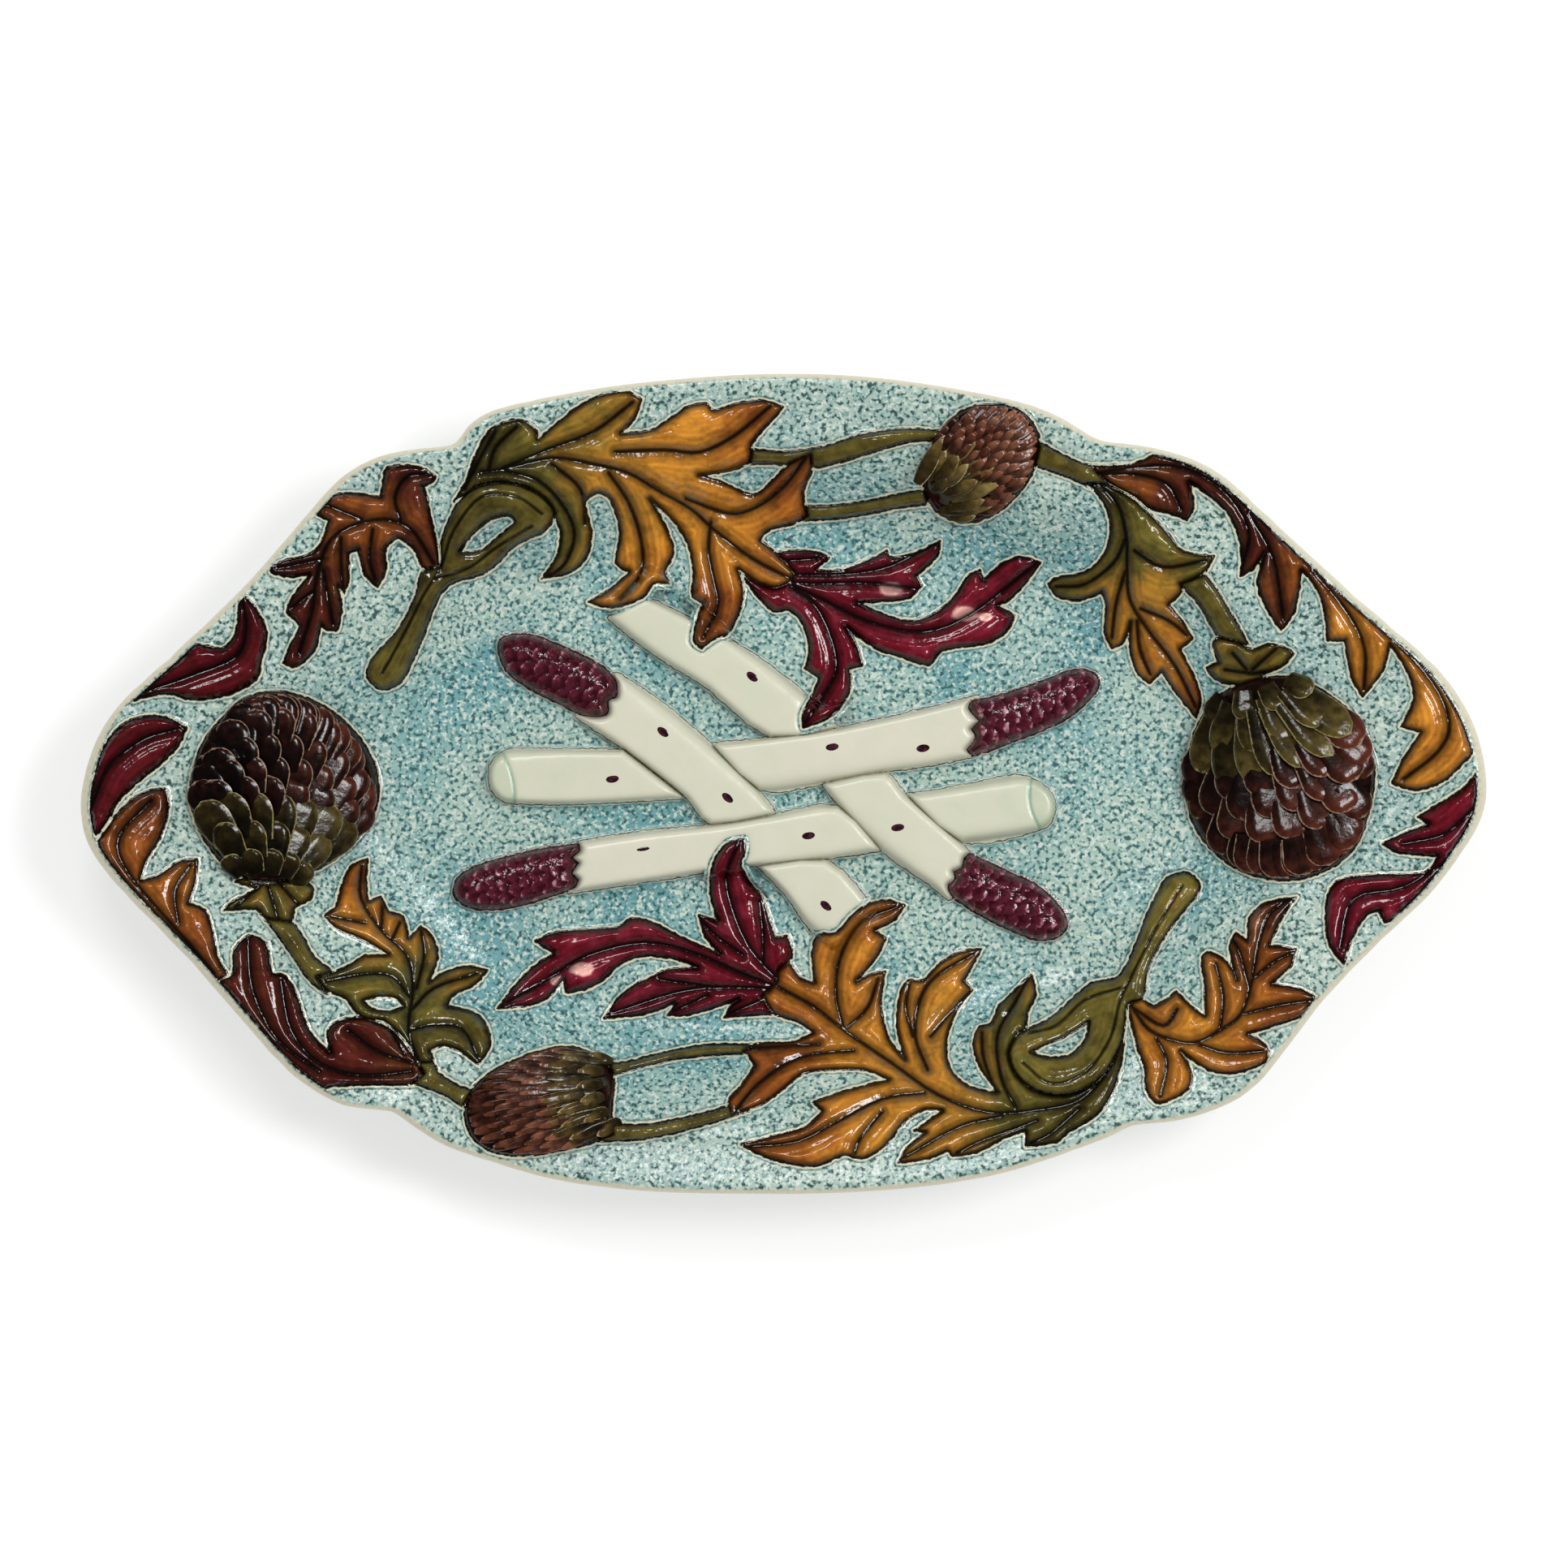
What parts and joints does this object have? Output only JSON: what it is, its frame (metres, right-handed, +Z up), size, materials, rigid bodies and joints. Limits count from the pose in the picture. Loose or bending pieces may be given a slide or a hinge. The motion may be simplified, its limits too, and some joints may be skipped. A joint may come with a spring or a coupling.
{
  "type": "asparagus plate",
  "caption": "Long lobed oval dish with a deep flat well, its face covered in moulded asparagus spears, artichoke heads, flower buds, stems and curling leaves.",
  "frame": {"origin": "middle of the bounding box, on the surface that the foot ring stands on", "axes": "+X along the dish towards the artichoke at the upright right end, +Y across it, +Z up out of the well"},
  "size_m": [0.4202, 0.2452, 0.0408],
  "materials": {
    "turquoise_ground": "gloss glaze, pale turquoise stippled with teal and cream",
    "bare_clay": "bare fired clay",
    "spear_cream": "gloss glaze, pale green cream",
    "tip_purple": "gloss glaze, purple",
    "mark_purple": "gloss glaze, dark purple",
    "head_brown": "gloss glaze, red brown",
    "stem_green": "gloss glaze, olive green",
    "leaf_brown": "gloss glaze, brown shaded with burgundy",
    "leaf_olive": "gloss glaze, olive shaded with amber and brown",
    "leaf_burgundy": "gloss glaze, burgundy",
    "leaf_amber": "gloss glaze, amber shaded with brown"
  },
  "bodies": {
    "root": {"dish_body": "turquoise_ground", "foot_ring": "bare_clay", "spear_top_left": "spear_cream", "spear_bottom_right": "spear_cream", "spear_top_right": "spear_cream", "spear_bottom_left": "spear_cream", "tip_top_left": "tip_purple", "tip_bottom_right": "tip_purple", "tip_top_right": "tip_purple", "tip_bottom_left": "tip_purple", "spear_marks": "mark_purple", "artichoke_left": "head_brown", "artichoke_left_sepals": "stem_green", "artichoke_right": "head_brown", "artichoke_right_sepals": "stem_green", "collar_left": "stem_green", "collar_right": "stem_green", "bud_top": "head_brown", "bud_top_sepals": "stem_green", "bud_bottom": "head_brown", "bud_bottom_sepals": "stem_green", "stem_cut_left": "stem_green", "stem_cut_right": "stem_green", "stem_pair_top": "stem_green", "stem_pair_bottom": "stem_green", "stem_bud_top": "stem_green", "stem_bud_bottom": "stem_green", "stem_artichoke_left": "stem_green", "stem_artichoke_right": "stem_green", "leaf_brown_top_left": "leaf_brown", "leaf_acanthus_top": "leaf_olive", "leaf_burgundy_top": "leaf_burgundy", "leaf_rim_right": "leaf_brown", "leaf_olive_right": "leaf_olive", "leaf_burgundy_right": "leaf_burgundy", "leaf_amber_right": "leaf_amber", "leaf_acanthus_bottom": "leaf_olive", "leaf_burgundy_bottom": "leaf_burgundy", "leaf_rim_left": "leaf_brown", "leaf_olive_left": "leaf_olive", "leaf_amber_left": "leaf_amber", "leaf_burgundy_left_upper": "leaf_burgundy", "leaf_burgundy_left_lower": "leaf_burgundy"}
  },
  "joints": []
}
